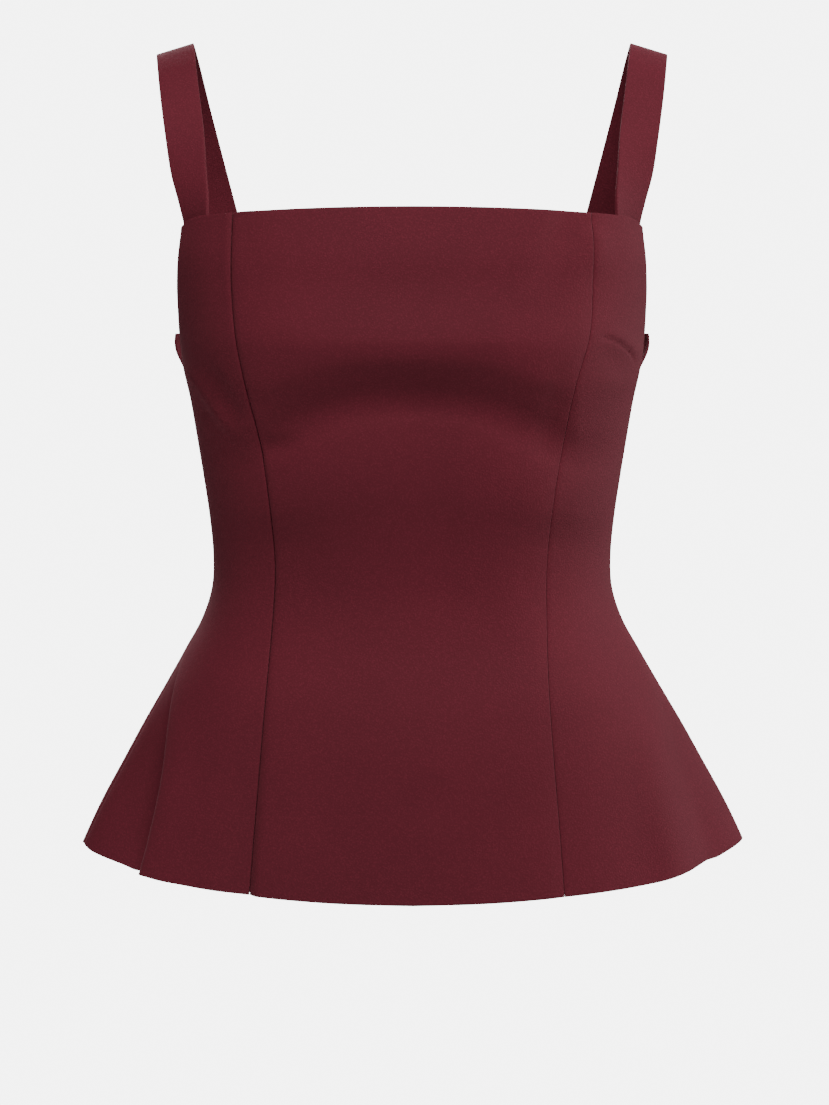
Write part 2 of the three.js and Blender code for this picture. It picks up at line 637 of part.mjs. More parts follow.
// A plate behind the cloth, with a thin bridge that comes out between the back's edges and holds the pull.
async function addSlider() {
  const wasm = await Module();
  wasm.setup();
  const plateFace = skin(2, SLIDER_TOP_DROP + SLIDER_LENGTH).y - WALL - SEAM_GAP;
  const plate = new THREE.BoxGeometry(SLIDER_WIDTH, SLIDER_THICKNESS, SLIDER_LENGTH);
  plate.translate(0, plateFace - SLIDER_THICKNESS / 2, -SLIDER_TOP_DROP - SLIDER_LENGTH / 2);
  const outerY = backFace + BRIDGE_STAND;
  const rootY = plateFace - SLIDER_THICKNESS / 2;
  const half = BRIDGE_LENGTH / 2;
  const outline = new THREE.Shape();
  outline.moveTo(rootY, -half);
  outline.lineTo(outerY - BRIDGE_STAND / 2, -half);
  outline.quadraticCurveTo(outerY, -half, outerY, -half + BRIDGE_STAND / 2);
  outline.lineTo(outerY, half - BRIDGE_STAND / 2);
  outline.quadraticCurveTo(outerY, half, outerY - BRIDGE_STAND / 2, half);
  outline.lineTo(rootY, half);
  outline.closePath();
  const eye = new THREE.Path();
  const eyeInner = backFace + 0.9;
  const eyeOuter = outerY - BRIDGE_WALL;
  eye.moveTo(eyeInner, -EYE_LENGTH / 2);
  eye.lineTo(eyeInner, EYE_LENGTH / 2);
  eye.lineTo(eyeOuter, EYE_LENGTH / 2);
  eye.lineTo(eyeOuter, -EYE_LENGTH / 2);
  eye.closePath();
  outline.holes.push(eye);
  const bridge = new THREE.ExtrudeGeometry(outline, { depth: BRIDGE_WIDTH, bevelEnabled: false, curveSegments: 4 });
  bridge.translate(0, 0, -BRIDGE_WIDTH / 2);
  // The shape is drawn in y and z, so its X becomes Y, its Y becomes Z and its depth becomes X.
  bridge.applyMatrix4(new THREE.Matrix4().set(0, 0, 1, 0, 1, 0, 0, 0, 0, 1, 0, -PULL_DROP, 0, 0, 0, 1));
  const solid = toManifold(wasm, plate).add(toManifold(wasm, bridge));
  addMesh('zip_slider', fromManifold(solid), ZIP_METAL);
}

// The pull hangs by the bar above its window. Its outline is drawn in x and z, from the bar's middle.
function addPull() {
  const barHalf = PULL_THICKNESS / 2;
  const shoulderZ = -WINDOW_LENGTH - PULL_SHOULDER;
  const tipZ = -PULL_LENGTH + PULL_TIP_RADIUS;
  const outline = new THREE.Shape();
  outline.moveTo(-PULL_WIDTH / 2, barHalf);
  outline.lineTo(-PULL_WIDTH / 2, shoulderZ);
  outline.lineTo(-PULL_TIP_RADIUS, tipZ);
  outline.quadraticCurveTo(-PULL_TIP_RADIUS, -PULL_LENGTH, 0, -PULL_LENGTH);
  outline.quadraticCurveTo(PULL_TIP_RADIUS, -PULL_LENGTH, PULL_TIP_RADIUS, tipZ);
  outline.lineTo(PULL_WIDTH / 2, shoulderZ);
  outline.lineTo(PULL_WIDTH / 2, barHalf);
  outline.closePath();
  const windowHole = new THREE.Path();
  windowHole.moveTo(-WINDOW_WIDTH / 2, -barHalf);
  windowHole.lineTo(WINDOW_WIDTH / 2, -barHalf);
  windowHole.lineTo(WINDOW_WIDTH / 2, -WINDOW_LENGTH);
  windowHole.lineTo(-WINDOW_WIDTH / 2, -WINDOW_LENGTH);
  windowHole.closePath();
  outline.holes.push(windowHole);
  const pull = new THREE.ExtrudeGeometry(outline, { depth: PULL_THICKNESS, bevelEnabled: false, curveSegments: 6 });
  pull.translate(0, 0, -PULL_THICKNESS / 2);
  pull.rotateX(Math.PI / 2);
  const mesh = addMesh('zip_pull', pull, ZIP_METAL);
  mesh.position.set(0, backFace + PULL_STAND, -PULL_DROP);
}

addPanels();
addStrap('strap_left', -1);
addStrap('strap_right', 1);
addZipChain();
await addSlider();
addPull();

export default top;
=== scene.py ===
"""A sleeveless burgundy peplum top, shown worn and filled out, for Blender 4.5.

The scene is in metres, +Z up. The front faces -Y, and left is -X, as seen from the front. The origin lies
midway between the tops of the two straps. From the front panel on, named sizes are in millimetres, and
heights are given as drop, the distance below the shoulder line.
"""
import bisect
import math

import bmesh
import bpy
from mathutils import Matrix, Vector


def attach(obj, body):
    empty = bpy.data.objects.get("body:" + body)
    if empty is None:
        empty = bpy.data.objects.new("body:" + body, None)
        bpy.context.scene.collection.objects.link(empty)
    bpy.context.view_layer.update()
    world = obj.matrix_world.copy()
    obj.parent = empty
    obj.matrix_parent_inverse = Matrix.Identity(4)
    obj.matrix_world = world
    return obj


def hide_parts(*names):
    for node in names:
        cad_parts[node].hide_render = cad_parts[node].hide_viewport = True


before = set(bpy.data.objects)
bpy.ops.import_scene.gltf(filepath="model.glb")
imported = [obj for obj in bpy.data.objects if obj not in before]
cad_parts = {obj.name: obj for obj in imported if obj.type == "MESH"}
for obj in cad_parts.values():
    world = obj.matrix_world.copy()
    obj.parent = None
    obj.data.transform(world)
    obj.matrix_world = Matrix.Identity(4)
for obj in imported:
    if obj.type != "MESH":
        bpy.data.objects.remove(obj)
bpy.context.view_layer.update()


# Camera. It stands 2.2 m in front of the top, a little under the neckline's height, and looks slightly
# down. The centre line of the top is 2.5 pixels left of the picture's.
CAMERA_PLACE = (0.00157, -2.2, -0.1647)
CAMERA_PITCH = 3.993
FOCAL_PIXELS = 3506.9
PICTURE_HEIGHT = 1105
SENSOR = 36.0

camera_data = bpy.data.cameras.new("camera")
camera_data.sensor_width = SENSOR
camera_data.lens = SENSOR * FOCAL_PIXELS / PICTURE_HEIGHT
camera = bpy.data.objects.new("camera", camera_data)
camera.location = CAMERA_PLACE
camera.rotation_euler = (math.radians(90 - CAMERA_PITCH), 0, 0)
bpy.context.scene.collection.objects.link(camera)
bpy.context.scene.camera = camera


# Studio. Soft boxes: a large key high in front, a broad front fill, one at each side and one behind. The
# room is plain white. Its pale floor is as far down as a real one and throws no light back up.
FLOOR_DROP = 1.35
FLOOR_RADIUS = 1.8
FLOOR_GLOW = 3
ROOM_GLOW = 0.03
ROOM_WHITE = 6

room = bpy.data.worlds.new("white_room")
room.use_nodes = True
bpy.context.scene.world = room
room_nodes = room.node_tree.nodes
room_nodes.clear()
seen = room_nodes.new("ShaderNodeBackground")
seen.inputs["Color"].default_value = (1, 1, 1, 1)
seen.inputs["Strength"].default_value = ROOM_WHITE
glow = room_nodes.new("ShaderNodeBackground")
glow.inputs["Color"].default_value = (1, 1, 1, 1)
glow.inputs["Strength"].default_value = ROOM_GLOW
ray = room_nodes.new("ShaderNodeLightPath")
either = room_nodes.new("ShaderNodeMixShader")
room_out = room_nodes.new("ShaderNodeOutputWorld")
room.node_tree.links.new(ray.outputs["Is Camera Ray"], either.inputs["Fac"])
room.node_tree.links.new(glow.outputs["Background"], either.inputs[1])
room.node_tree.links.new(seen.outputs["Background"], either.inputs[2])
room.node_tree.links.new(either.outputs["Shader"], room_out.inputs["Surface"])


def hang_softbox(name, place, aim, size, power):
    light = bpy.data.lights.new(name, "AREA")
    light.shape = "RECTANGLE"
    light.size = size[0]
    light.size_y = size[1]
    light.energy = power
    lamp = bpy.data.objects.new(name, light)
    lamp.location = place
    lamp.rotation_euler = (Vector(aim) - Vector(place)).to_track_quat("-Z", "Y").to_euler()
    bpy.context.scene.collection.objects.link(lamp)
    return lamp


hang_softbox("key_light", (0.28, -1.50, 1.72), (0, 0, -0.25), (0.9, 0.9), 55)
hang_softbox("front_fill", (-0.5, -2.6, 0.1), (0, 0, -0.3), (1.6, 1.2), 12)
hang_softbox("right_side", (1.8, 0.15, 0.2), (0, 0, -0.3), (0.8, 1.2), 24)
hang_softbox("left_side", (-1.7, -0.7, 0.1), (0, 0, -0.3), (0.8, 1.2), 4.2)
hang_softbox("back_fill", (-0.4, 2.0, 1.2), (0, 0, -0.2), (1.4, 1.4), 48)

bm = bmesh.new()
bmesh.ops.create_circle(bm, cap_ends=True, segments=64, radius=FLOOR_RADIUS)
bmesh.ops.translate(bm, verts=bm.verts, vec=(0, 0, -FLOOR_DROP))
floor_mesh = bpy.data.meshes.new("floor")
bm.to_mesh(floor_mesh)
bm.free()
floor = bpy.data.objects.new("floor", floor_mesh)
bpy.context.scene.collection.objects.link(floor)
floor_paint = bpy.data.materials.new("pale_floor")
floor_paint.use_nodes = True
floor_shader = floor_paint.node_tree.nodes["Principled BSDF"]
floor_shader.inputs["Base Color"].default_value = (0.92, 0.92, 0.92, 1)
floor_shader.inputs["Roughness"].default_value = 0.9
floor_shader.inputs["Emission Color"].default_value = (1, 1, 1, 1)
floor_paths = floor_paint.node_tree.nodes.new("ShaderNodeLightPath")
floor_glow = floor_paint.node_tree.nodes.new("ShaderNodeMath")
floor_glow.operation = "MULTIPLY"
floor_glow.inputs[1].default_value = FLOOR_GLOW
floor_paint.node_tree.links.new(floor_paths.outputs["Is Camera Ray"], floor_glow.inputs[0])
floor_paint.node_tree.links.new(floor_glow.outputs["Value"], floor_shader.inputs["Emission Strength"])
floor_mesh.materials.append(floor_paint)


# Front centre panel. The cloth between the two princess seams, from the neckline to the hem: a heavy
# polyester crepe, cut in one and shaped over the bust and out at the waist. Its edge is turned under.
MM = 0.001
CLOTH_THICKNESS = 1.5
SEAM_GAP = 0.18
SEAM_ROLL = 0.3
SEAM_DIP = 0.9
SEAM_DIP_WIDTH = 1.5
EDGE_RADIUS = 0.45
EDGE_INSET = 1.2
SEAM_ALLOWANCE = 11
HEM_TURNING = 26
TURNING_SINK = 2.6
HEM_SINK = 3.5
TURNING_THICKNESS = 0.4
SHARP_ANGLE = 55
CENTRE_COLUMNS = 110
CENTRE_ROWS = 230
ALLOWANCE_GRID = (8, 110)
TURNING_GRID = (70, 8)
END_CROWDING = 0.6
QUARTER_TURN = math.pi / 2

NECK_DROP = 104.6
NECK_DROP_AT_STRAP = 109.4
STRAP_CORNER_DROP = 116
UNDERARM_DROP = 203
BACK_TOP_DROP = 181
HEM_DROP_FRONT = 523
STRAP_INNER_AROUND = 0.586
STRAP_OUTER_AROUND = 0.69
BACK_CORNER_AROUND = 1.15
ARMHOLE_SCOOP = 1.6

# Level sections of the worn form: half its width, how far the back stands out, and how square it is.
SECTIONS = [
    dict(drop=95, half_width=152.0, back=100.0, square=2.8),
    dict(drop=115, half_width=152.6, back=102.5, square=2.8),
    dict(drop=133, half_width=153.4, back=105.0, square=2.75),
    dict(drop=150, half_width=151.4, back=107.0, square=2.7),
    dict(drop=168, half_width=147.8, back=108.3, square=2.65),
    dict(drop=187, half_width=144.5, back=108.6, square=2.6),
    dict(drop=205, half_width=141.8, back=107.3, square=2.5),
    dict(drop=222, half_width=138.2, back=104.5, square=2.4),
    dict(drop=245, half_width=134.4, back=99.0, square=2.35),
    dict(drop=270, half_width=130.4, back=92.8, square=2.3),
    dict(drop=295, half_width=126.8, back=88.2, square=2.25),
    dict(drop=320, half_width=124.7, back=86.0, square=2.2),
    dict(drop=340, half_width=125.8, back=88.0, square=2.2),
    dict(drop=360, half_width=132.4, back=95.0, square=2.15),
    dict(drop=380, half_width=143.6, back=104.0, square=2.1),
    dict(drop=400, half_width=154.8, back=112.0, square=2.1),
    dict(drop=425, half_width=168.3, back=120.5, square=2.0),
    dict(drop=450, half_width=180.5, back=127.0, square=1.92),
    dict(drop=475, half_width=192.5, back=131.5, square=1.87),
    dict(drop=500, half_width=203.0, back=135.5, square=1.85),
    dict(drop=530, half_width=215.0, back=139.7, square=1.85),
]

# How far the centre front stands forward: the bust, the fold under it, the waist and the flare.
FRONT_PROFILE = [
    dict(drop=95, depth=113.5),
    dict(drop=120, depth=118.4),
    dict(drop=135, depth=120.9),
    dict(drop=150, depth=122.3),
    dict(drop=160, depth=124.0),
    dict(drop=170, depth=126.4),
    dict(drop=180, depth=128.8),
    dict(drop=187, depth=129.5),
    dict(drop=196, depth=127.0),
    dict(drop=205, depth=120.4),
    dict(drop=214, depth=113.2),
    dict(drop=223, depth=110.8),
    dict(drop=236, depth=111.4),
    dict(drop=255, depth=110.8),
    dict(drop=275, depth=108.2),
    dict(drop=295, depth=103.2),
    dict(drop=315, depth=98.2),
    dict(drop=335, depth=95.2),
    dict(drop=350, depth=95.2),
    dict(drop=370, depth=98.0),
    dict(drop=390, depth=102.8),
    dict(drop=410, depth=107.6),
    dict(drop=430, depth=111.2),
    dict(drop=450, depth=113.2),
    dict(drop=475, depth=114.6),
    dict(drop=500, depth=115.4),
    dict(drop=530, depth=116.2),
]

# Towards the sides, the slope under the bust starts lower and is longer, which bends its shade to an arch.
BUST_DROP = 187
ARCH = dict(fall=9, stretch=0.75, at=90, power=2.4, most=1.3, grows_from=-14, grows_to=26, fade_from=235,
            fade_to=310)

# The hem's height round the garment. Around is 0 at the centre front, 1 at the side seam, 2 at the back.
HEM = [
    dict(around=0, left=523.0, right=523.0),
    dict(around=0.2, left=522.1, right=522.1),
    dict(around=0.4, left=519.4, right=519.4),
    dict(around=0.6, left=515.0, right=515.2),
    dict(around=0.7, left=512.4, right=510.6),
    dict(around=0.8, left=515.6, right=507.0),
    dict(around=0.85, left=512.4, right=506.2),
    dict(around=0.9, left=509.2, right=503.0),
    dict(around=0.95, left=505.8, right=500.0),
    dict(around=1, left=502.4, right=498.6),
    dict(around=1.2, left=503.4, right=502.0),
    dict(around=1.5, left=510.0, right=509.4),
    dict(around=2, left=513.5, right=513.5),
]

# The front princess seams' distance from the centre line.
FRONT_SEAMS = [
    dict(drop=105, left=107.5, right=108.0),
    dict(drop=146, left=108.5, right=108.5),
    dict(drop=180, left=106.5, right=107.0),
    dict(drop=210, left=100.8, right=98.9),
    dict(drop=244, left=92.5, right=92.3),
    dict(drop=278, left=87.4, right=86.5),
    dict(drop=320, left=83.8, right=82.5),
    dict(drop=355, left=85.4, right=82.4),
    dict(drop=395, left=88.8, right=83.4),
    dict(drop=435, left=92.5, right=86.0),
    dict(drop=485, left=97.1, right=90.2),
    dict(drop=520, left=100.0, right=92.8),
]

# The flare's folds, each along a crest that moves round the body as it falls, with a hollow behind it.
FOLDS = [
    dict(side=-1, from_drop=372, full_drop=480, crest_top=0.95, crest_hem=0.685, end=1.06, depth=23,
         ridge=2.4, steep=0.25),
    dict(side=1, from_drop=372, full_drop=523, crest_top=0.95, crest_hem=0.7, end=1.0, depth=4.5, ridge=3.2,
         steep=0.45),
    dict(side=-1, from_drop=350, full_drop=523, crest_top=1.36, crest_hem=1.3, end=1.66, depth=9, ridge=2,
         steep=0.45),
    dict(side=1, from_drop=355, full_drop=523, crest_top=1.4, crest_hem=1.36, end=1.72, depth=7, ridge=2,
         steep=0.5),
]
RIDGE_WIDTH = 0.06
TUCK_SHARE = 0.2
TUCK_WIDTH = 0.4
CREST_CURVE = 3.2

# FLARE pushes the side seams out at the hem. STAND lets the armhole's edge stand away behind the side seam.
FLARE = dict(amount=7.2, spread=0.12, from_drop=380)
STAND = dict(around=1.13, drop=187, amount=8.8, around_spread=0.11, drop_spread=15)

# The dip along each princess seam, shallow down the bodice and deeper towards the hem.
TROUGHS = [
    dict(side=-1, bodice=0.5, hem=3.6, from_drop=370, inner=4, outer=16),
    dict(side=1, bodice=0.3, hem=0.8, from_drop=400, inner=6, outer=14),
]

# Creases and soft rolls that wear has put in the front, as paths in the front view: points of distance from
# the centre line and drop. A negative depth is a roll that stands up. fade is the share of the path over
# which it dies out at its start and its end.
CREASE_REACH = 2.6
SHORTEST_FADE = 0.001
FRONT_CREASES = [
    dict(path=[(113, 182.5), (119, 183.2), (124.5, 185.6), (132, 191), (137, 198.5)], width=1.1, depth=0.9,
         fade=(0.1, 0.15)),
    dict(path=[(114, 179), (120, 180), (127, 183.2), (134.5, 188.6), (140, 197)], width=4.5, depth=-0.6,
         fade=(0.4, 0.2)),
    dict(path=[(107, 188), (118, 193), (127, 202), (131, 214)], width=8.0, depth=0.8, fade=(0.4, 0.5)),
    dict(path=[(-143, 193), (-133, 207), (-124, 219), (-115, 232), (-102, 248)], width=4.0, depth=-1.9,
         fade=(0.3, 0.4)),
    dict(path=[(-129, 194), (-119, 208), (-110, 222), (-99, 238)], width=5.0, depth=1.6, fade=(0.3, 0.4)),
    dict(path=[(-93, 247), (-82, 248), (-64, 243)], width=6.0, depth=1.8, fade=(0.2, 0.6)),
    dict(path=[(91, 190), (87, 214), (82, 240), (79, 268)], width=9.0, depth=1.6, fade=(0.4, 0.5)),
    dict(path=[(-110.8, 108), (-111.3, 130), (-110.6, 175)], width=3.0, depth=-0.6, fade=(0.0, 0.5)),
    dict(path=[(99, 88), (95, 106), (90, 121), (82, 134), (72, 148), (63, 162)], width=11.0, depth=3.2,
         fade=(0.1, 0.6)),
    dict(path=[(112, 113), (111, 130), (109, 152)], width=8.0, depth=-1.4, fade=(0.3, 0.6)),
    dict(path=[(-100, 108), (-99, 125), (-97, 150)], width=8.0, depth=0.6, fade=(0.0, 0.6)),
    dict(path=[(20, 440), (12, 462), (16, 486)], width=16, depth=0.9, fade=(0.5, 0.5)),
    dict(path=[(-40, 300), (-52, 340), (-50, 380)], width=14, depth=0.7, fade=(0.5, 0.5)),
    dict(path=[(45, 322), (60, 345), (66, 380)], width=15, depth=-0.6, fade=(0.5, 0.5)),
]


def smoothstep(low, high, value):
    t = min(max((value - low) / (high - low), 0.0), 1.0)
    return t * t * (3 - 2 * t)


def lerp(a, b, t):
    return a + (b - a) * t


def curve_through(table, column, key="drop"):
    """A function that reads a smooth curve through one column of a table."""
    keys = [row[key] for row in table]
    values = [row[column] for row in table]
    last = len(keys) - 1
    slopes = []
    for i in range(last + 1):
        before, after = max(i - 1, 0), min(i + 1, last)
        slopes.append((values[after] - values[before]) / (keys[after] - keys[before]))

    def read(place):
        i = min(max(bisect.bisect_left(keys, place) - 1, 0), last - 1)
        span = keys[i + 1] - keys[i]
        t = min(max((place - keys[i]) / span, 0.0), 1.0)
        rise = values[i + 1] - values[i]
        start, end = slopes[i] * span, slopes[i + 1] * span
        bend = 3 * rise - 2 * start - end
        twist = start + end - 2 * rise
        return values[i] + start * t + bend * t * t + twist * t ** 3

    return read


half_width = curve_through(SECTIONS, "half_width")
back_depth = curve_through(SECTIONS, "back")
squareness = curve_through(SECTIONS, "square")
centre_depth = curve_through(FRONT_PROFILE, "depth")
hem_height = {-1: curve_through(HEM, "left", "around"), 1: curve_through(HEM, "right", "around")}
front_seam_x = {-1: curve_through(FRONT_SEAMS, "left"), 1: curve_through(FRONT_SEAMS, "right")}


def front_depth(drop, x):
    """The centre's depth, with the slope under the bust lower and longer towards the sides."""
    below = drop - BUST_DROP
    growth = smoothstep(ARCH["grows_from"], ARCH["grows_to"], below)
    growth *= 1 - smoothstep(ARCH["fade_from"], ARCH["fade_to"], drop)
    outward = min((x / ARCH["at"]) ** ARCH["power"], ARCH["most"]) * growth
    return centre_depth(BUST_DROP + (below - ARCH["fall"] * outward) / (1 + ARCH["stretch"] * outward))


def quarter_point(is_front, angle, drop):
    power = 2 / squareness(drop)
    x = half_width(drop) * math.sin(angle) ** power
    depth = front_depth(drop, x) if is_front else back_depth(drop)
    y = depth * max(math.cos(angle), 0.0) ** power
    return x, -y if is_front else y


# Lengths of cloth from the centre line to each of a row of angles, at heights a few millimetres apart.
ARC_STEPS = 120
LEVEL_FIRST = 90
LEVEL_STEP = 4
LEVEL_COUNT = 112
cloth_lengths = {}
for is_front in (True, False):
    for level in range(LEVEL_COUNT):
        drop = LEVEL_FIRST + level * LEVEL_STEP
        lengths = [0.0]
        before = quarter_point(is_front, 0.0, drop)
        for step in range(1, ARC_STEPS + 1):
            here = quarter_point(is_front, QUARTER_TURN * step / ARC_STEPS, drop)
            lengths.append(lengths[-1] + math.dist(before, here))
            before = here
        cloth_lengths[is_front, level] = lengths


def angle_for_share(is_front, share, drop):
    """The angle at which a share of the quarter's cloth has been passed."""
    height = (drop - LEVEL_FIRST) / LEVEL_STEP
    level = int(height)
    angles = []
    for lengths in (cloth_lengths[is_front, level], cloth_lengths[is_front, level + 1]):
        wanted = share * lengths[-1]
        step = min(max(bisect.bisect_left(lengths, wanted) - 1, 0), ARC_STEPS - 1)
        part = (wanted - lengths[step]) / (lengths[step + 1] - lengths[step])
        angles.append((step + part) / ARC_STEPS * QUARTER_TURN)
    return lerp(angles[0], angles[1], height - level)


def share_at_x(is_front, x, drop):
    angle = math.asin((x / half_width(drop)) ** (squareness(drop) / 2))
    place = angle / QUARTER_TURN * ARC_STEPS
    step = min(int(place), ARC_STEPS - 1)
    height = (drop - LEVEL_FIRST) / LEVEL_STEP
    level = int(height)
    shares = []
    for lengths in (cloth_lengths[is_front, level], cloth_lengths[is_front, level + 1]):
        shares.append(lerp(lengths[step], lengths[step + 1], place - step) / lengths[-1])
    return lerp(shares[0], shares[1], height - level)


def quarter_length(is_front, drop):
    return cloth_lengths[is_front, round((drop - LEVEL_FIRST) / LEVEL_STEP)][-1]


def front_seam(side, drop):
    return side * share_at_x(True, front_seam_x[side](drop), drop)


def fold_relief(around, drop):
    relief = 0.0
    side = -1 if around < 0 else 1
    for fold in FOLDS:
        if side != fold["side"]:
            continue
        growth = smoothstep(fold["from_drop"], fold["full_drop"], drop)
        down = min(max((drop - fold["from_drop"]) / (HEM_DROP_FRONT - fold["from_drop"]), 0.0), 1.0)
        crest = lerp(fold["crest_top"], fold["crest_hem"], 1 - (1 - down) ** CREST_CURVE)
        behind = abs(around) - crest
        width = fold["end"] - crest
        bottom = fold["steep"] * width
        fall = smoothstep(0, bottom, behind) * (1 - smoothstep(bottom, width, behind))
        ridge = math.exp(-(((behind + RIDGE_WIDTH / 2) / RIDGE_WIDTH) ** 2))
        tuck = math.exp(-(((behind / bottom - 1) / TUCK_WIDTH) ** 2))
        hollow = fold["depth"] * fall + TUCK_SHARE * fold["depth"] * tuck
        relief += growth * (fold["ridge"] * ridge - hollow)
    flare = math.exp(-(((abs(around) - 1) / FLARE["spread"]) ** 2))
    return relief + FLARE["amount"] * flare * smoothstep(FLARE["from_drop"], HEM_DROP_FRONT, drop)


def trough_relief(around, drop):
    if abs(around) > 1:
        return 0.0
    relief = 0.0
    side = -1 if around < 0 else 1
    for trough in TROUGHS:
        if side != trough["side"]:
            continue
        depth = lerp(trough["bodice"], trough["hem"], smoothstep(trough["from_drop"], HEM_DROP_FRONT, drop))
        distance = (abs(around) - abs(front_seam(side, drop))) * quarter_length(True, drop)
        width = trough["inner"] if distance < 0 else trough["outer"]
        relief -= depth * math.exp(-((distance / width) ** 2))
    return relief


def armhole_relief(around, drop):
    across = (abs(around) - STAND["around"]) / STAND["around_spread"]
    down = (drop - STAND["drop"]) / STAND["drop_spread"]
    return STAND["amount"] * math.exp(-(across ** 2) - down ** 2)


for crease in FRONT_CREASES:
    crease["steps"] = [math.dist(a, b) for a, b in zip(crease["path"], crease["path"][1:])]
    crease["reach"] = CREASE_REACH * crease["width"]
    crease["box"] = [f(point[i] for point in crease["path"]) for f in (min, max) for i in (0, 1)]


def crease_relief(x, drop):
    relief = 0.0
    for crease in FRONT_CREASES:
        reach = crease["reach"]
        low_x, low_drop, high_x, high_drop = crease["box"]
        if not (low_x - reach < x < high_x + reach and low_drop - reach < drop < high_drop + reach):
            continue
        nearest, place, passed = reach, 0.0, 0.0
        for (x0, drop0), (x1, drop1), step in zip(crease["path"], crease["path"][1:], crease["steps"]):
            t = ((x - x0) * (x1 - x0) + (drop - drop0) * (drop1 - drop0)) / step ** 2
            t = min(max(t, 0.0), 1.0)
            gap = math.hypot(x - lerp(x0, x1, t), drop - lerp(drop0, drop1, t))
            if gap < nearest:
                nearest, place = gap, passed + t * step
            passed += step
        along = place / passed
        fade_in, fade_out = crease["fade"]
        strength = smoothstep(0, fade_in + SHORTEST_FADE, along)
        strength *= smoothstep(0, fade_out + SHORTEST_FADE, 1 - along)
        relief -= crease["depth"] * strength * math.exp(-((nearest / crease["width"]) ** 2))
    return relief


def worn_place(around, drop, sink=0.0):
    """A point of the cloth's outer face, in metres. sink is how far under it the point lies."""
    if around > 2:
        around -= 4
    if around < -2:
        around += 4
    side = -1 if around < 0 else 1
    is_front = abs(around) <= 1
    share = abs(around) if is_front else 2 - abs(around)
    x, y = quarter_point(is_front, angle_for_share(is_front, share, drop), drop)
    square = squareness(drop)
    depth = max(front_depth(drop, x) if is_front else back_depth(drop), 1.0)
    out_x = (x / half_width(drop)) ** (square - 1) / half_width(drop)
    out_y = (abs(y) / depth) ** (square - 1) / depth
    size = math.hypot(out_x, out_y)
    relief = fold_relief(around, drop) + trough_relief(around, drop) + armhole_relief(around, drop)
    if is_front:
        relief += crease_relief(side * x, drop)
    relief -= sink
    x += relief * out_x / size
    y += relief * out_y / size * (-1 if is_front else 1)
    return Vector((side * x, y, -drop)) * MM


def top_drop(around):
    """The height of the top edge: neckline, strap base, armhole and back."""
    size = abs(around)
    if size <= STRAP_INNER_AROUND:
        return NECK_DROP + (NECK_DROP_AT_STRAP - NECK_DROP) * (size / STRAP_INNER_AROUND) ** 2
    if size <= STRAP_OUTER_AROUND:
        along = (size - STRAP_INNER_AROUND) / (STRAP_OUTER_AROUND - STRAP_INNER_AROUND)
        return NECK_DROP_AT_STRAP + (STRAP_CORNER_DROP - NECK_DROP_AT_STRAP) * along ** 2
    if size <= 1:
        left = (1 - size) / (1 - STRAP_OUTER_AROUND)
        down = max(1 - left ** ARMHOLE_SCOOP, 0.0) ** (1 / ARMHOLE_SCOOP)
        return STRAP_CORNER_DROP + (UNDERARM_DROP - STRAP_CORNER_DROP) * down
    if size <= BACK_CORNER_AROUND:
        along = (size - 1) / (BACK_CORNER_AROUND - 1)
        return UNDERARM_DROP - (UNDERARM_DROP - BACK_TOP_DROP) * (1 - math.sqrt(1 - along ** 2))
    return BACK_TOP_DROP


def hem_drop(around):
    return hem_height[-1 if around < 0 else 1](abs(around))


def run(start, end, count, pace=lambda t: t):
    """Column places from one around to another, without the first."""
    return [lerp(start, end, pace((i + 1) / count)) for i in range(count)]


def to_shares(places):
    return [(place - places[0]) / (places[-1] - places[0]) for place in places]


def closer_at_ends(t):
    return lerp(t, (1 - math.cos(t * math.pi)) / 2, END_CROWDING)


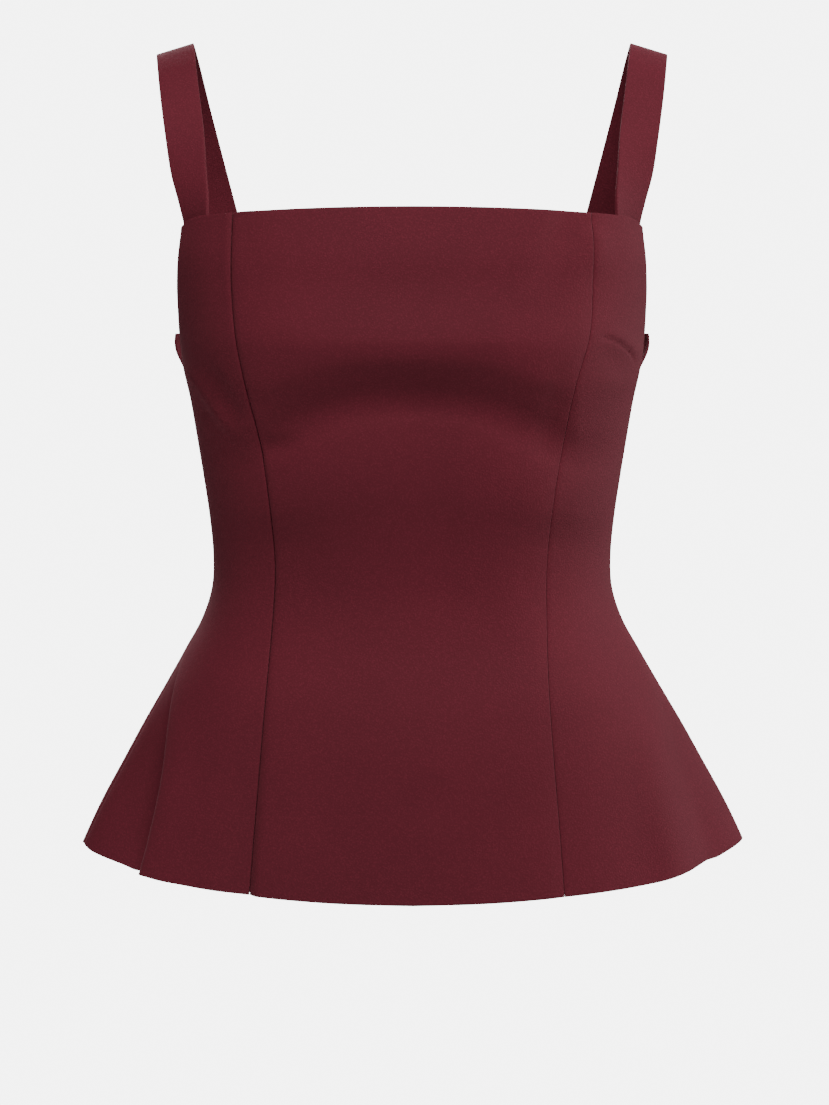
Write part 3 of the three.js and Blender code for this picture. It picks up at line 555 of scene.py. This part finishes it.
def weave_crepe(name, colour, deep, light):
    """Heavy crepe: matt, with an irregular pebbled face, faint mottling and a soft sheen on its nap."""
    material = bpy.data.materials.new(name)
    material.use_nodes = True
    nodes = material.node_tree.nodes
    links = material.node_tree.links
    shader = nodes["Principled BSDF"]
    shader.inputs["Roughness"].default_value = 0.78
    shader.inputs["Specular IOR Level"].default_value = 0.18
    shader.inputs["Sheen Weight"].default_value = 0.07
    shader.inputs["Sheen Roughness"].default_value = 0.45
    shader.inputs["Sheen Tint"].default_value = (1.0, 0.45, 0.5, 1)
    place = nodes.new("ShaderNodeTexCoord")

    mottle = nodes.new("ShaderNodeTexNoise")
    mottle.inputs["Scale"].default_value = 14
    mottle.inputs["Detail"].default_value = 3
    pebble = nodes.new("ShaderNodeTexNoise")
    pebble.inputs["Scale"].default_value = 1050
    pebble.inputs["Detail"].default_value = 1.5
    pebble.inputs["Roughness"].default_value = 0.5
    cells = nodes.new("ShaderNodeTexVoronoi")
    cells.feature = "SMOOTH_F1"
    cells.inputs["Scale"].default_value = 900
    cells.inputs["Smoothness"].default_value = 0.6
    for texture in (mottle, pebble, cells):
        links.new(place.outputs["Object"], texture.inputs["Vector"])

    height = nodes.new("ShaderNodeMath")
    height.operation = "SUBTRACT"
    links.new(pebble.outputs["Fac"], height.inputs[0])
    links.new(cells.outputs["Distance"], height.inputs[1])
    bump = nodes.new("ShaderNodeBump")
    bump.inputs["Strength"].default_value = 0.4
    bump.inputs["Distance"].default_value = 0.0003
    links.new(height.outputs["Value"], bump.inputs["Height"])
    links.new(bump.outputs["Normal"], shader.inputs["Normal"])

    grain = nodes.new("ShaderNodeValToRGB")
    grain.color_ramp.elements[0].position = 0.0
    grain.color_ramp.elements[0].color = (*deep, 1)
    grain.color_ramp.elements[1].position = 0.62
    grain.color_ramp.elements[1].color = (*light, 1)
    middle = grain.color_ramp.elements.new(0.3)
    middle.color = (*colour, 1)
    links.new(height.outputs["Value"], grain.inputs["Fac"])
    shade = nodes.new("ShaderNodeMapRange")
    shade.inputs["From Min"].default_value = 0.3
    shade.inputs["From Max"].default_value = 0.7
    shade.inputs["To Min"].default_value = 0.93
    shade.inputs["To Max"].default_value = 1.06
    links.new(mottle.outputs["Fac"], shade.inputs["Value"])
    tint = nodes.new("ShaderNodeVectorMath")
    tint.operation = "SCALE"
    links.new(grain.outputs["Color"], tint.inputs[0])
    links.new(shade.outputs["Result"], tint.inputs["Scale"])
    links.new(tint.outputs["Vector"], shader.inputs["Base Color"])
    return material


BURGUNDY = (0.141, 0.0152, 0.0278)
BURGUNDY_DEEP = (0.116, 0.0122, 0.0225)
BURGUNDY_LIGHT = (0.161, 0.0176, 0.0322)
crepe = weave_crepe("burgundy_crepe", BURGUNDY, BURGUNDY_DEEP, BURGUNDY_LIGHT)


def round_sharp_edges(bm, radius, segments):
    """Rounds the rim that solidify leaves at a sheet's cut edges."""
    least = math.radians(SHARP_ANGLE)
    sharp = [e for e in bm.edges if len(e.link_faces) == 2 and e.calc_face_angle(0) > least]
    bmesh.ops.bevel(bm, geom=sharp, offset=radius, offset_type="OFFSET", segments=segments, profile=0.5,
                    affect="EDGES", clamp_overlap=True, material=-1)


def finish_piece(bm, name, material):
    for face in bm.faces:
        face.smooth = True
    mesh = bpy.data.meshes.new(name)
    bm.to_mesh(mesh)
    bm.free()
    mesh.materials.append(material)
    piece = bpy.data.objects.new(name, mesh)
    bpy.context.scene.collection.objects.link(piece)
    return piece


def seam_gap(drop):
    return SEAM_GAP / 2, SEAM_GAP / 2


def cut_panel(node, first, last, shares, rows, gap=seam_gap, dip=SEAM_DIP):
    """One cut piece, seen from outside: first and last give the seams at its left and right, as around."""
    columns = len(shares) - 1
    is_front = "front" in node
    bm = bmesh.new()
    bmesh.ops.create_grid(bm, x_segments=columns, y_segments=rows, size=0.5)
    for vert in bm.verts:
        column = round((vert.co.x + 0.5) * columns)
        share = shares[column]
        down = 0.5 - vert.co.y
        upper = top_drop(lerp(first(NECK_DROP_AT_STRAP), last(NECK_DROP_AT_STRAP), share))
        lower = hem_drop(lerp(first(HEM_DROP_FRONT), last(HEM_DROP_FRONT), share))
        drop = lerp(upper, lower, down)
        first_gap, last_gap = gap(drop)
        length = quarter_length(is_front, drop)
        around = lerp(first(drop) + first_gap / length, last(drop) - last_gap / length, share)
        sink = SEAM_ROLL if column == columns else 0.0
        sink += dip * math.exp(-(((around - first(drop)) * length / SEAM_DIP_WIDTH) ** 2))
        vert.co = worn_place(around, drop, sink)
    bmesh.ops.recalc_face_normals(bm, faces=bm.faces)
    middle = bm.faces[:][len(bm.faces) // 2]
    if middle.normal.dot(middle.calc_center_median() * Vector((1, 1, 0))) < 0:
        bmesh.ops.reverse_faces(bm, faces=bm.faces)
    bmesh.ops.solidify(bm, geom=bm.faces[:], thickness=CLOTH_THICKNESS * MM)
    round_sharp_edges(bm, EDGE_RADIUS * MM, 2)
    panel = finish_piece(bm, node + "_cloth", crepe)
    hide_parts(node)
    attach(panel, "garment")
    return panel


def lay_inside(bm, columns, rows, width, place):
    """A strip against the cloth's inner face. place gives around, drop and sink for each part of it."""
    grid = bmesh.ops.create_grid(bm, x_segments=columns, y_segments=rows, size=0.5)
    for vert in grid["verts"]:
        vert.co = worn_place(*place((vert.co.x + 0.5) * width, 0.5 - vert.co.y))


def turn_edges_under(node, first, last, from_drop=0):
    """Inside a panel: the allowances pressed open behind its left seam, and the turning along its hem."""
    is_front = "front" in node
    bm = bmesh.new()

    def behind_seam(across, down):
        offset = across - SEAM_ALLOWANCE
        upper = max(top_drop(first(NECK_DROP_AT_STRAP)) + EDGE_INSET, from_drop)
        foot = first(HEM_DROP_FRONT) + offset / quarter_length(is_front, HEM_DROP_FRONT)
        drop = lerp(upper, hem_drop(foot) - EDGE_INSET, down)
        return first(drop) + offset / quarter_length(is_front, drop), drop, TURNING_SINK

    def above_hem(across, down):
        around = lerp(first(HEM_DROP_FRONT), last(HEM_DROP_FRONT), across)
        inset = EDGE_INSET / quarter_length(is_front, HEM_DROP_FRONT)
        around = min(max(around, first(HEM_DROP_FRONT) + inset), last(HEM_DROP_FRONT) - inset)
        return around, hem_drop(around) - EDGE_INSET - (1 - down) * HEM_TURNING, HEM_SINK

    lay_inside(bm, *ALLOWANCE_GRID, 2 * SEAM_ALLOWANCE, behind_seam)
    lay_inside(bm, *TURNING_GRID, 1, above_hem)
    bmesh.ops.recalc_face_normals(bm, faces=bm.faces)
    bmesh.ops.solidify(bm, geom=bm.faces[:], thickness=TURNING_THICKNESS * MM)
    turning = finish_piece(bm, node + "_turnings", crepe)
    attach(turning, "garment")
    return turning


def left_princess(drop):
    return front_seam(-1, drop)


def right_princess(drop):
    return front_seam(1, drop)


centre_shares = [0] + run(0, 1, CENTRE_COLUMNS, closer_at_ends)
front_centre = cut_panel("front_centre", left_princess, right_princess, centre_shares, CENTRE_ROWS)
turnings = turn_edges_under("front_centre", left_princess, right_princess)


# Side fronts. From the princess seam over the bust to the side seam, with the strap's base and the front
# of the armhole in their top edge. The same crepe, sewn to the centre and pressed open.
FAINT_SEAM_DIP = 0.35
SIDE_FRONT_ROWS = 270
NECK_COLUMNS = 14
STRAP_COLUMNS = 16
ARMHOLE_COLUMNS = 62
ARMHOLE_CROWDING = 0.8


def closer_at_strap(t):
    return lerp(t, 1 - math.cos(t * QUARTER_TURN), ARMHOLE_CROWDING)


neck_seam = front_seam(1, NECK_DROP_AT_STRAP)
side_front_places = [neck_seam]
side_front_places += run(neck_seam, STRAP_INNER_AROUND, NECK_COLUMNS)
side_front_places += run(STRAP_INNER_AROUND, STRAP_OUTER_AROUND, STRAP_COLUMNS)
side_front_places += run(STRAP_OUTER_AROUND, 1, ARMHOLE_COLUMNS, closer_at_strap)
side_front_shares = to_shares(side_front_places)


def mirrored(shares):
    return [1 - share for share in reversed(shares)]


def left_side_seam(drop):
    return -1


def right_side_seam(drop):
    return 1


for node, first, last, shares, dip in (
    ("side_front_right", right_princess, right_side_seam, side_front_shares, FAINT_SEAM_DIP),
    ("side_front_left", left_side_seam, left_princess, mirrored(side_front_shares), SEAM_DIP),
):
    panel = cut_panel(node, first, last, shares, SIDE_FRONT_ROWS, dip=dip)
    turnings = turn_edges_under(node, first, last)


# Side backs. Between the side seam and the back's princess seam, with the rest of the armhole in their top
# edge. The same crepe, sewn along both seams and pressed open.
BACK_ROWS = 170
CORNER_COLUMNS = 18
TOP_COLUMNS = 36

# The back princess seams' distance from the centre line.
BACK_SEAMS = [
    dict(drop=175, across=100),
    dict(drop=250, across=80),
    dict(drop=320, across=62),
    dict(drop=400, across=74),
    dict(drop=520, across=100),
]
back_seam_x = curve_through(BACK_SEAMS, "across")


def back_seam(side, drop):
    return side * (2 - share_at_x(False, back_seam_x(drop), drop))


def closer_at_corner(t):
    return lerp(t, math.sin(t * QUARTER_TURN), ARMHOLE_CROWDING)


back_seam_top = back_seam(1, NECK_DROP_AT_STRAP)
side_back_places = [1]
side_back_places += run(1, BACK_CORNER_AROUND, CORNER_COLUMNS, closer_at_corner)
side_back_places += run(BACK_CORNER_AROUND, back_seam_top, TOP_COLUMNS)
side_back_shares = to_shares(side_back_places)


def left_back_princess(drop):
    return back_seam(-1, drop)


def right_back_princess(drop):
    return back_seam(1, drop)


for node, first, last, shares in (
    ("side_back_right", right_side_seam, right_back_princess, side_back_shares),
    ("side_back_left", left_back_princess, left_side_seam, mirrored(side_back_shares)),
):
    panel = cut_panel(node, first, last, shares, BACK_ROWS)
    turnings = turn_edges_under(node, first, last)


# Backs. The same crepe, from the back princess seam to the centre back, where the two edges meet over the
# zip and part a little at its top for the slider's neck.
MOUTH = dict(half_gap=0.9, from_drop=196, to_drop=203)
BACK_COLUMNS = 44
ZIP_END_DROP = 430
ALLOWANCE_OVERLAP = 4


def zip_gap(drop):
    return lerp(MOUTH["half_gap"], SEAM_GAP / 2, smoothstep(MOUTH["from_drop"], MOUTH["to_drop"], drop))


def gap_at_right_edge(drop):
    return SEAM_GAP / 2, zip_gap(drop)


def gap_at_left_edge(drop):
    return zip_gap(drop), SEAM_GAP / 2


def right_centre_back(drop):
    return 2


def left_centre_back(drop):
    return -2


back_shares = [0] + run(0, 1, BACK_COLUMNS, closer_at_ends)
back_right = cut_panel("back_right", right_back_princess, right_centre_back, back_shares, BACK_ROWS,
                       gap_at_right_edge)
back_left = cut_panel("back_left", left_centre_back, left_back_princess, back_shares, BACK_ROWS,
                      gap_at_left_edge)
allowance_from = ZIP_END_DROP - ALLOWANCE_OVERLAP
right_turnings = turn_edges_under("back_right", right_back_princess, right_centre_back)
left_turnings = turn_edges_under("back_left", left_centre_back, left_back_princess, allowance_from)


# Straps. Each is a folded band of the same crepe, 24 mm wide, sewn inside the neckline in front and inside
# the top of the back, and curved over the shoulder.
STRAP_WIDTH = 24
STRAP_THICKNESS = 2.2
STRAP_ROUND = 0.75
STRAP_TUCK = 10
STRAP_INSIDE = 1.9
STRAP_GRID = dict(x_segments=12, y_segments=200)
STRAP_BACK_INNER = 92
STRAP_BACK_OUTER = 115.5

# The middle of the right strap, from front to back, with the band's turn about the upright and its fall
# towards the outside, in degrees.
STRAP_STATIONS = [
    dict(x=132.6, y=-73.4, z=-99, turn=40, fall=10),
    dict(x=135.6, y=-67.0, z=-82, turn=25, fall=8),
    dict(x=138.4, y=-56.0, z=-59, turn=8, fall=8),
    dict(x=142.0, y=-40.5, z=-36, turn=0, fall=10),
    dict(x=145.4, y=-21.5, z=-14.5, turn=0, fall=14),
    dict(x=147.5, y=0.0, z=-3.8, turn=0, fall=17),
    dict(x=145.6, y=21.5, z=-13.5, turn=0, fall=15),
    dict(x=140.0, y=41.0, z=-40, turn=-4, fall=11),
    dict(x=131.0, y=58.0, z=-78, turn=-10, fall=9),
    dict(x=121.0, y=72.0, z=-118, turn=-17, fall=8),
    dict(x=112.4, y=81.5, z=-150, turn=-24, fall=6),
    dict(x=107.2, y=85.6, z=-170, turn=-27, fall=4),
]


def strap_edges(side):
    inner, outer = [], []
    for below in (STRAP_TUCK, STRAP_TUCK / 2, 0):
        for edge, around in ((inner, STRAP_INNER_AROUND), (outer, STRAP_OUTER_AROUND)):
            edge.append(worn_place(side * around, top_drop(around) + below, STRAP_INSIDE))
    for station in STRAP_STATIONS:
        turn, fall = math.radians(station["turn"]), math.radians(station["fall"])
        across = Vector((math.cos(turn) * math.cos(fall), math.sin(turn) * math.cos(fall), -math.sin(fall)))
        middle = Vector((station["x"], station["y"], station["z"]))
        for edge, reach in ((inner, -STRAP_WIDTH / 2), (outer, STRAP_WIDTH / 2)):
            point = middle + across * reach
            edge.append(Vector((side * point.x, point.y, point.z)) * MM)
    for below in (0, STRAP_TUCK / 2, STRAP_TUCK):
        for edge, x in ((inner, STRAP_BACK_INNER), (outer, STRAP_BACK_OUTER)):
            around = 2 - share_at_x(False, x, BACK_TOP_DROP)
            edge.append(worn_place(side * around, BACK_TOP_DROP + below, STRAP_INSIDE))
    return inner, outer


def point_on(points, t):
    """A place on the smooth curve through a row of points, spaced as their gaps are."""
    place = t * (len(points) - 1)
    i = min(int(place), len(points) - 2)
    t = place - i
    p1, p2 = points[i], points[i + 1]
    p0 = points[i - 1] if i else p1 * 2 - p2
    p3 = points[i + 2] if i + 2 < len(points) else p2 * 2 - p1
    d1, d2, d3 = ((b - a).length ** 0.5 for a, b in ((p0, p1), (p1, p2), (p2, p3)))
    m1 = ((p1 - p0) / d1 - (p2 - p0) / (d1 + d2) + (p2 - p1) / d2) * d2
    m2 = ((p2 - p1) / d2 - (p3 - p1) / (d2 + d3) + (p3 - p2) / d3) * d2
    bend = 3 * (p2 - p1) - 2 * m1 - m2
    twist = 2 * (p1 - p2) + m1 + m2
    return p1 + m1 * t + bend * t * t + twist * t ** 3


def fold_strap(node, side):
    inner, outer = strap_edges(side)
    bm = bmesh.new()
    bmesh.ops.create_grid(bm, **STRAP_GRID, size=0.5)
    for vert in bm.verts:
        along = vert.co.y + 0.5
        vert.co = point_on(inner, along).lerp(point_on(outer, along), vert.co.x + 0.5)
    bmesh.ops.recalc_face_normals(bm, faces=bm.faces)
    crown = max(bm.faces, key=lambda face: face.calc_center_median().z)
    if crown.normal.z < 0:
        bmesh.ops.reverse_faces(bm, faces=bm.faces)
    bmesh.ops.solidify(bm, geom=bm.faces[:], thickness=STRAP_THICKNESS * MM)
    round_sharp_edges(bm, STRAP_ROUND * MM, 3)
    strap = finish_piece(bm, node + "_band", crepe)
    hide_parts(node)
    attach(strap, "garment")
    return strap


fold_strap("strap_left", -1)
fold_strap("strap_right", 1)


# Zip. A closed coil zip sewn behind the centre back: two woven tapes, the coil's turns, a slider whose
# neck comes out between the back's edges, and a slim painted metal pull that hangs from it.
ZIP_TOP_DROP = 184
ZIP_TAPE_WIDTH = 26
ZIP_TAPE_SINK = 2.6
TAPE_GRID = (12, 130)
TEETH_FROM_TOP = 16
TEETH_FROM_END = 3
TOOTH_PITCH = 1.3
TOOTH_SINK = 3.6
TOOTH_OFFSET = 0.7
TOOTH_SHAPE = (1.5, 0.55, 0.42)
FLAT_ANGLE = 2
RIM_ANGLE = 40
PAINT_BEVEL = 0.18

zip_tape_cloth = bpy.data.materials.new("zip_tape")
zip_tape_cloth.use_nodes = True
tape_nodes = zip_tape_cloth.node_tree.nodes
tape_links = zip_tape_cloth.node_tree.links
tape_shader = tape_nodes["Principled BSDF"]
tape_shader.inputs["Roughness"].default_value = 0.75
tape_shader.inputs["Specular IOR Level"].default_value = 0.25
tape_place = tape_nodes.new("ShaderNodeTexCoord")
tape_rib = tape_nodes.new("ShaderNodeTexWave")
tape_rib.wave_type = "BANDS"
tape_rib.bands_direction = "Z"
tape_rib.inputs["Scale"].default_value = 420
tape_rib.inputs["Distortion"].default_value = 0.4
tape_ramp = tape_nodes.new("ShaderNodeValToRGB")
tape_ramp.color_ramp.elements[0].color = (0.075, 0.010, 0.018, 1)
tape_ramp.color_ramp.elements[1].color = (0.105, 0.015, 0.026, 1)
tape_bump = tape_nodes.new("ShaderNodeBump")
tape_bump.inputs["Strength"].default_value = 0.5
tape_bump.inputs["Distance"].default_value = 0.0002
tape_links.new(tape_place.outputs["Object"], tape_rib.inputs["Vector"])
tape_links.new(tape_rib.outputs["Fac"], tape_ramp.inputs["Fac"])
tape_links.new(tape_ramp.outputs["Color"], tape_shader.inputs["Base Color"])
tape_links.new(tape_rib.outputs["Fac"], tape_bump.inputs["Height"])
tape_links.new(tape_bump.outputs["Normal"], tape_shader.inputs["Normal"])

zip_paint = bpy.data.materials.new("zip_paint")
zip_paint.use_nodes = True
paint_nodes = zip_paint.node_tree.nodes
paint_links = zip_paint.node_tree.links
paint_shader = paint_nodes["Principled BSDF"]
paint_shader.inputs["Coat Weight"].default_value = 0.1
paint_shader.inputs["Coat Roughness"].default_value = 0.2
paint_place = paint_nodes.new("ShaderNodeTexCoord")
paint_speck = paint_nodes.new("ShaderNodeTexNoise")
paint_speck.inputs["Scale"].default_value = 900
paint_ramp = paint_nodes.new("ShaderNodeValToRGB")
paint_ramp.color_ramp.elements[0].color = (0.085, 0.010, 0.018, 1)
paint_ramp.color_ramp.elements[1].color = (0.130, 0.018, 0.030, 1)
paint_gloss = paint_nodes.new("ShaderNodeMapRange")
paint_gloss.inputs["To Min"].default_value = 0.38
paint_gloss.inputs["To Max"].default_value = 0.5
paint_links.new(paint_place.outputs["Object"], paint_speck.inputs["Vector"])
paint_links.new(paint_speck.outputs["Fac"], paint_ramp.inputs["Fac"])
paint_links.new(paint_speck.outputs["Fac"], paint_gloss.inputs["Value"])
paint_links.new(paint_ramp.outputs["Color"], paint_shader.inputs["Base Color"])
paint_links.new(paint_gloss.outputs["Result"], paint_shader.inputs["Roughness"])


def along_zip(across, down):
    drop = lerp(ZIP_TOP_DROP, ZIP_END_DROP, down)
    return 2 + (across - ZIP_TAPE_WIDTH / 2) / quarter_length(False, drop), drop, ZIP_TAPE_SINK


bm = bmesh.new()
lay_inside(bm, *TAPE_GRID, ZIP_TAPE_WIDTH, along_zip)
bmesh.ops.recalc_face_normals(bm, faces=bm.faces)
bmesh.ops.solidify(bm, geom=bm.faces[:], thickness=TURNING_THICKNESS * MM)
zip_tapes = finish_piece(bm, "zip_tapes", zip_tape_cloth)
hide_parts("zip_chain")
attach(zip_tapes, "garment")

bm = bmesh.new()
first_tooth = ZIP_TOP_DROP + TEETH_FROM_TOP
tooth_count = int((ZIP_END_DROP - first_tooth - TEETH_FROM_END) / TOOTH_PITCH)
for i in range(tooth_count):
    way = 1 if i % 2 else -1
    drop = first_tooth + i * TOOTH_PITCH
    middle = worn_place(2 + way * TOOTH_OFFSET / quarter_length(False, drop), drop, TOOTH_SINK)
    tooth = bmesh.ops.create_uvsphere(bm, u_segments=8, v_segments=5, radius=MM)
    bmesh.ops.scale(bm, verts=tooth["verts"], vec=TOOTH_SHAPE)
    bmesh.ops.translate(bm, verts=tooth["verts"], vec=middle)
zip_coil = finish_piece(bm, "zip_coil", zip_tape_cloth)
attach(zip_coil, "garment")

for node, body in (("zip_slider", "garment"), ("zip_pull", "pull")):
    bm = bmesh.new()
    bm.from_mesh(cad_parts[node].data)
    bmesh.ops.dissolve_limit(bm, angle_limit=math.radians(FLAT_ANGLE), verts=bm.verts, edges=bm.edges)
    least = math.radians(RIM_ANGLE)
    rim = [e for e in bm.edges if len(e.link_faces) == 2 and e.calc_face_angle(0) > least]
    bmesh.ops.bevel(bm, geom=rim, offset=PAINT_BEVEL * MM, offset_type="OFFSET", segments=2, profile=0.5,
                    affect="EDGES", clamp_overlap=True, material=-1)
    bmesh.ops.triangulate(bm, faces=[f for f in bm.faces if len(f.verts) > 4])
    metal = finish_piece(bm, node + "_painted", zip_paint)
    for face in metal.data.polygons:
        face.use_smooth = False
    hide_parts(node)
    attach(metal, body)
